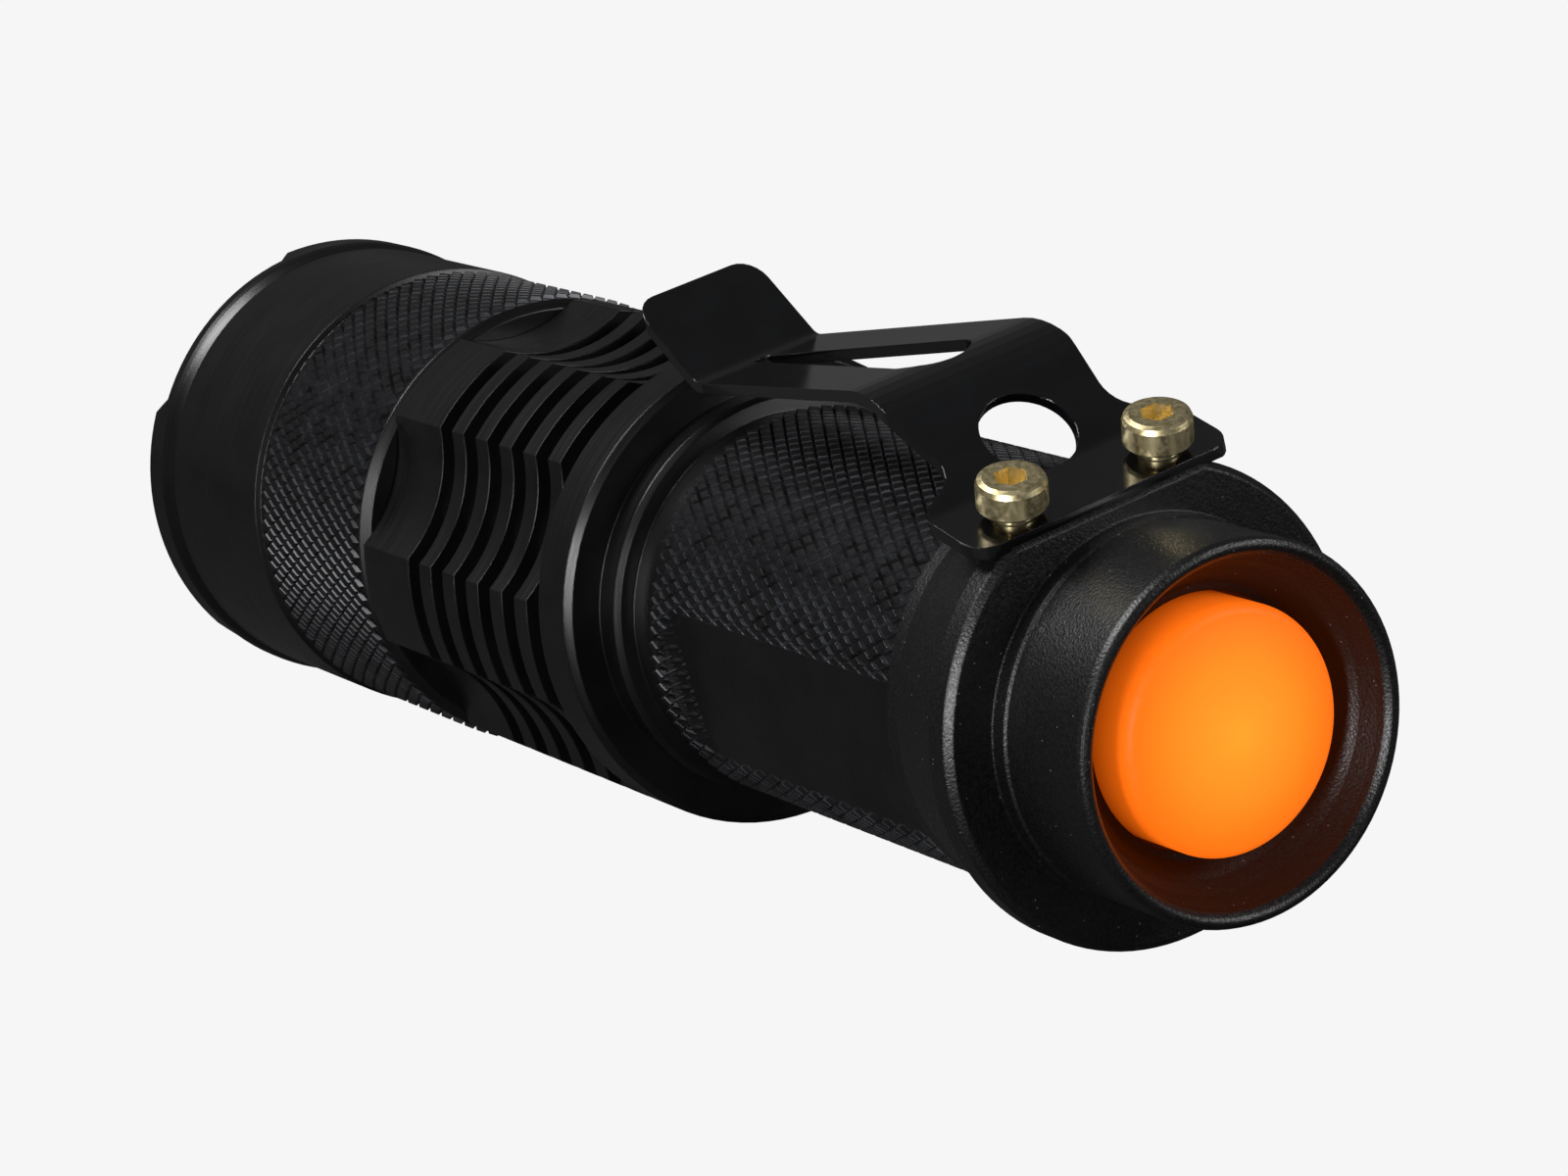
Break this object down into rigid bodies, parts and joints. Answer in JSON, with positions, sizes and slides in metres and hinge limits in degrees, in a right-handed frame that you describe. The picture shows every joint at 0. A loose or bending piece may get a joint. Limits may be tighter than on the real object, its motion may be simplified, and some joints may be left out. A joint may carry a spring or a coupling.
{
  "type": "zoom pocket torch",
  "caption": "Small black aluminium pocket torch with sliding zoom head, finned and knurled barrel, screwed tail cap, orange push switch and spring clip.",
  "frame": {"origin": "centre of the tail shroud's rim plane, on the torch's axis", "axes": "+Y along the torch's axis from tail to lens, +Z through the middle of the clip"},
  "size_m": [0.0272, 0.093, 0.031],
  "materials": {
    "black_anodise": "satin black anodised aluminium",
    "blasted_anodise": "bead-blasted black anodised aluminium",
    "lens": "polished moulded lens",
    "black_rubber": "matte",
    "bare_aluminium": "turned",
    "board_white": "white solder mask",
    "led_ceramic": "ceramic",
    "led_silicone": "clear silicone over yellow phosphor",
    "wire_red": "silicone wire jacket",
    "board_green": "green solder mask",
    "chip_black": "moulded epoxy",
    "spring_steel": "drawn wire",
    "can_steel": "plated steel",
    "battery_film": "plain shrink film",
    "orange_silicone": "translucent orange silicone",
    "brass": "turned",
    "switch_plastic": "moulded",
    "plunger_plastic": "moulded",
    "clip_paint": "gloss black paint on spring steel",
    "screw_brass": "passivated brass finish"
  },
  "bodies": {
    "barrel": {"barrel": "black_anodise", "stop_ring": "black_anodise", "focus_oring": "black_rubber", "tail_oring": "black_rubber", "led_pill": "bare_aluminium", "led_board": "board_white", "led_package": "led_ceramic", "led_dome": "led_silicone", "led_leads": "wire_red", "driver_board": "board_green", "driver_parts": "chip_black", "driver_spring": "spring_steel"},
    "head": {"head_sleeve": "black_anodise", "lens": "lens", "lens_oring": "black_rubber", "lens_ring": "black_anodise"},
    "battery": {"battery_can": "can_steel", "battery_sleeve": "battery_film", "battery_nose": "can_steel"},
    "tail": {"tail_cap": "blasted_anodise", "switch_boot": "orange_silicone", "boot_washer": "can_steel", "switch_ring": "brass", "switch_housing": "switch_plastic", "switch_spring": "spring_steel", "switch_board": "board_green", "tail_spring": "spring_steel", "pocket_clip": "clip_paint", "clip_screws": "screw_brass"},
    "button": {"switch_plunger": "plunger_plastic"}
  },
  "joints": [
    {"name": "zoom_slide", "type": "slide", "parent": "barrel", "child": "head", "axis": [0, 1, 0], "range_m": [0, 0.007]},
    {"name": "cap_travel", "type": "slide", "parent": "barrel", "child": "battery", "axis": [0, -1, 0], "range_m": [0, 0.0033]},
    {"name": "cap_turn", "type": "hinge", "parent": "battery", "child": "tail", "pos_m": [0, 0.012, 0], "axis": [0, -1, 0], "range_deg": [0, 1080]},
    {"name": "button_press", "type": "slide", "parent": "tail", "child": "button", "axis": [0, 1, 0], "range_m": [0, 0.0014], "stiffness_N_per_m": 1200, "springref_m": -0.0008, "deforming": ["switch_boot", "switch_spring"]}
  ],
  "couplings": [
    {"joint": "cap_travel", "follows": "cap_turn", "m_per_rad": 0.00015915}
  ]
}
